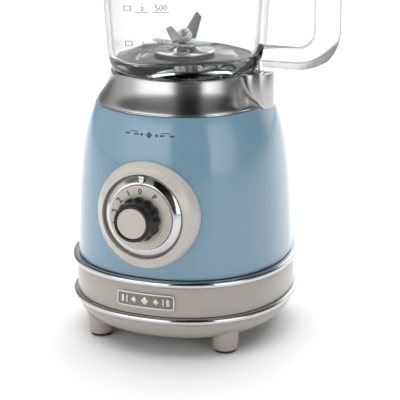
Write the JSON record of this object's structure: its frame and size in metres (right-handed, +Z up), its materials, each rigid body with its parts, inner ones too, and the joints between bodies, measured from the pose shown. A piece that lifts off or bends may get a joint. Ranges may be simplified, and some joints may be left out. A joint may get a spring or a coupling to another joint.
{
  "type": "countertop blender",
  "caption": "Countertop blender with a rounded enamelled base, chrome trim, speed dial, glass jar with a D-shaped handle, lid and measuring cap.",
  "frame": {"origin": "middle of the underside of the whole blender's box, on the surface it stands on", "axes": "+Z up along the drive axis, -Y out of the dial, +X towards the jar's handle"},
  "size_m": [0.2142, 0.1994, 0.4049],
  "materials": {
    "cream_enamel": "smooth cream enamel",
    "blue_enamel": "glossy light blue enamel",
    "chrome_trim": "polished chrome",
    "brushed_metal": "brushed around the axis",
    "steel": "plain machined steel",
    "blade_steel": "ground stainless steel",
    "pewter": "dark cast plate with a bright border",
    "black_plastic": "black, satin gloss",
    "cream_plastic": "cream, smooth",
    "black_rubber": "matt black rubber",
    "silicone": "translucent pale silicone",
    "board": "green circuit board",
    "copper_winding": "varnished copper winding",
    "jar_glass": "thick clear glass",
    "lid_plastic": "light blue, smooth",
    "clear_plastic": "clear plastic"
  },
  "bodies": {
    "base": {"bottom_cover": "cream_enamel", "foot_front_left": "cream_enamel", "foot_front_right": "cream_enamel", "foot_back_right": "cream_enamel", "foot_back_left": "cream_enamel", "foot_pad_front_left": "black_rubber", "foot_pad_front_right": "black_rubber", "foot_pad_back_right": "black_rubber", "foot_pad_back_left": "black_rubber", "cover_screw_front_left": "steel", "cover_screw_front_right": "steel", "cover_screw_back_right": "steel", "cover_screw_back_left": "steel", "lower_trim_ring": "chrome_trim", "upper_trim_ring": "chrome_trim", "base_band": "cream_enamel", "cord_inlet": "black_plastic", "badge_plate": "pewter", "body_shell": "blue_enamel", "collar": "brushed_metal", "jar_seat": "black_plastic", "dial_bezel": "cream_enamel", "dial_ring": "chrome_trim", "rotary_switch": "black_plastic", "motor_frame": "steel", "upper_bracket": "steel", "lower_bearing": "steel", "upper_bearing": "steel", "motor_stator": "copper_winding", "control_board": "board", "interlock_switch": "black_plastic"},
    "dial": {"dial_disc": "cream_plastic", "knob": "black_plastic", "knob_cap": "cream_plastic", "knob_shaft": "steel"},
    "rotor": {"motor_rotor": "steel", "motor_shaft": "steel", "cooling_fan": "black_plastic", "drive_coupling": "black_rubber"},
    "interlock": {"interlock_plunger": "cream_plastic"},
    "jar": {"jar": "jar_glass", "blade_gasket": "silicone", "blade_base": "blade_steel", "retaining_nut": "black_plastic"},
    "blades": {"blade_shaft": "blade_steel", "lower_blade": "blade_steel", "upper_blade": "blade_steel", "blade_nut": "blade_steel", "driven_coupling": "black_rubber"},
    "lid": {"lid": "lid_plastic", "lid_seal": "silicone"},
    "measuring_cap": {"measuring_cap": "clear_plastic"}
  },
  "joints": [
    {"name": "knob_turn", "type": "hinge", "parent": "base", "child": "dial", "pos_m": [-0.0181, -0.07093, 0.1128], "axis": [0, -0.9986, 0.0523], "range_deg": [-120, 32]},
    {"name": "motor_spin", "type": "hinge", "parent": "base", "child": "rotor", "pos_m": [-0.0181, 0.01078, 0.1], "axis": [0, 0, 1], "continuous": true},
    {"name": "interlock_press", "type": "slide", "parent": "base", "child": "interlock", "axis": [0, 0, -1], "range_m": [0, 0.003], "stiffness_N_per_m": 200},
    {"name": "jar_lift", "type": "slide", "parent": "base", "child": "jar", "axis": [0, 0, 1], "range_m": [0, 0.06]},
    {"name": "blade_spin", "type": "hinge", "parent": "jar", "child": "blades", "pos_m": [-0.0181, 0.01078, 0.23], "axis": [0, 0, 1], "continuous": true},
    {"name": "lid_lift", "type": "slide", "parent": "jar", "child": "lid", "axis": [0, 0, 1], "range_m": [0, 0.045]},
    {"name": "cap_lift", "type": "slide", "parent": "lid", "child": "measuring_cap", "axis": [0, 0, 1], "range_m": [0, 0.045]}
  ],
  "couplings": [
    {"joint": "blade_spin", "follows": "motor_spin", "ratio": 1}
  ]
}
